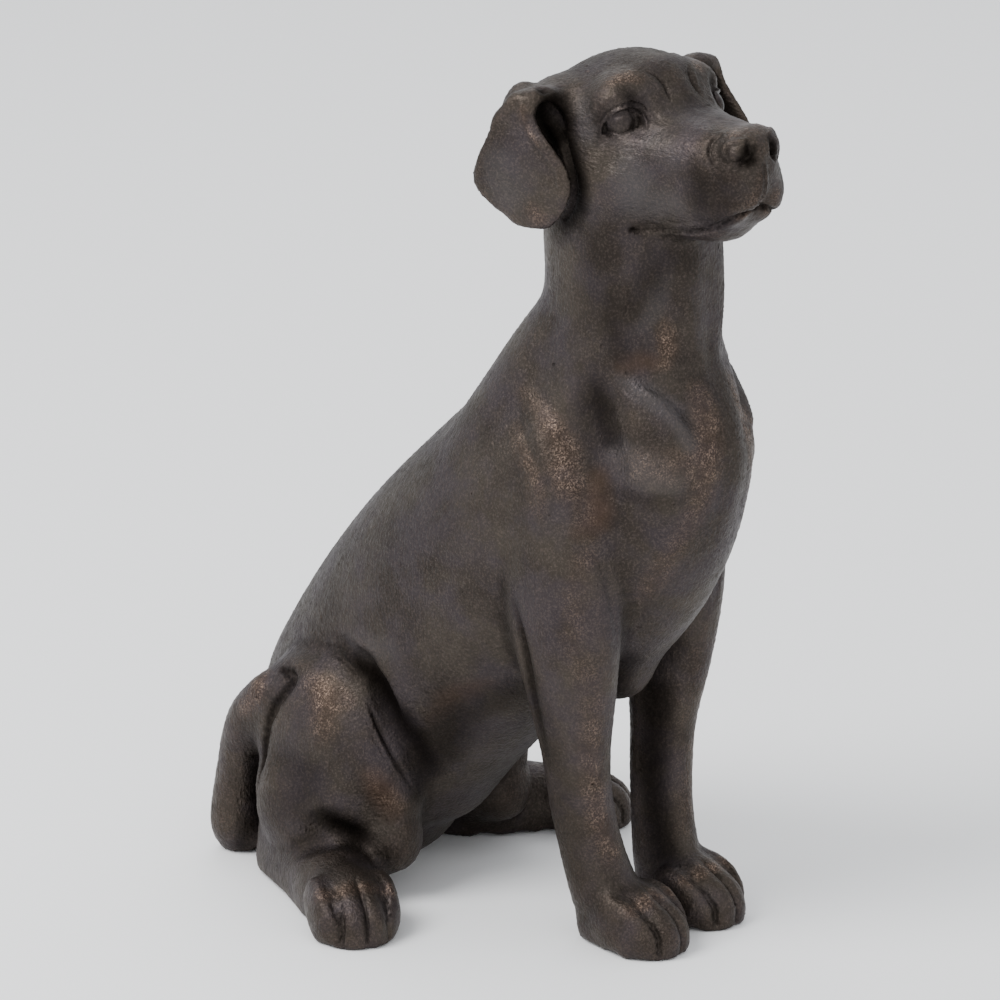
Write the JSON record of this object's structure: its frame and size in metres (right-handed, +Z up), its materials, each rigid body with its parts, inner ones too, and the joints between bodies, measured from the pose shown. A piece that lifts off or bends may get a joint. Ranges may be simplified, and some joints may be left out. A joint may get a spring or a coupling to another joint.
{
  "type": "bronze dog figurine",
  "caption": "Seated short-haired dog with pendant ears, cast in one piece in dark patinated bronze, standing on its own feet and seat.",
  "frame": {"origin": "on the ground, under the middle of the figure's bounding box", "axes": "+Z up, -Y the way the dog's body faces, -X its right side, to which its head is turned"},
  "size_m": [0.2482, 0.3276, 0.4494],
  "materials": {
    "patinated_bronze": "dark brown patinated bronze, hand-modelled texture, rubbed to copper on the high spots"
  },
  "bodies": {
    "root": {"dog_figure": "patinated_bronze"}
  },
  "joints": []
}
